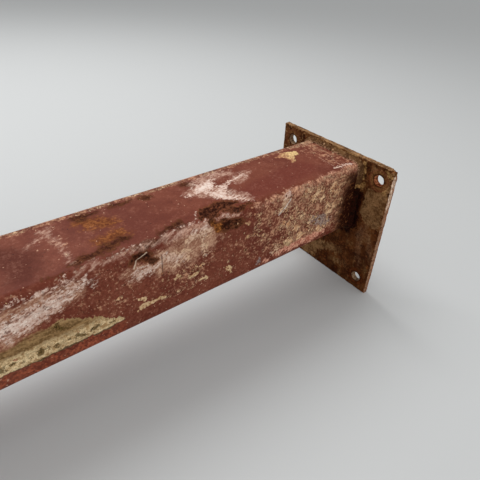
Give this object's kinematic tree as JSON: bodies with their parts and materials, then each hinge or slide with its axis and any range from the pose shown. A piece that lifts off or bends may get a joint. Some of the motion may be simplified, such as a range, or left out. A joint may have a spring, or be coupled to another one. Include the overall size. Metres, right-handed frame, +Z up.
{
  "type": "steel box section",
  "caption": "Square hollow steel section with a square bolted end plate welded across one end and a plain sawn far end, in worn red-oxide primer.",
  "frame": {"origin": "on the floor, under the middle of the member's box", "axes": "+X along the member towards the end plate, +Y across it, +Z up from the floor it lies on"},
  "size_m": [3.022, 0.3, 0.3001],
  "materials": {
    "primed_section": "satin red-oxide primer, scuffed and rust-stained",
    "rusted_plate": "matte brown rust over worn primer",
    "primed_weld": "dusty primer over a rippled bead"
  },
  "bodies": {
    "root": {"box_section": "primed_section", "end_plate": "rusted_plate", "fillet_weld": "primed_weld"}
  },
  "joints": []
}
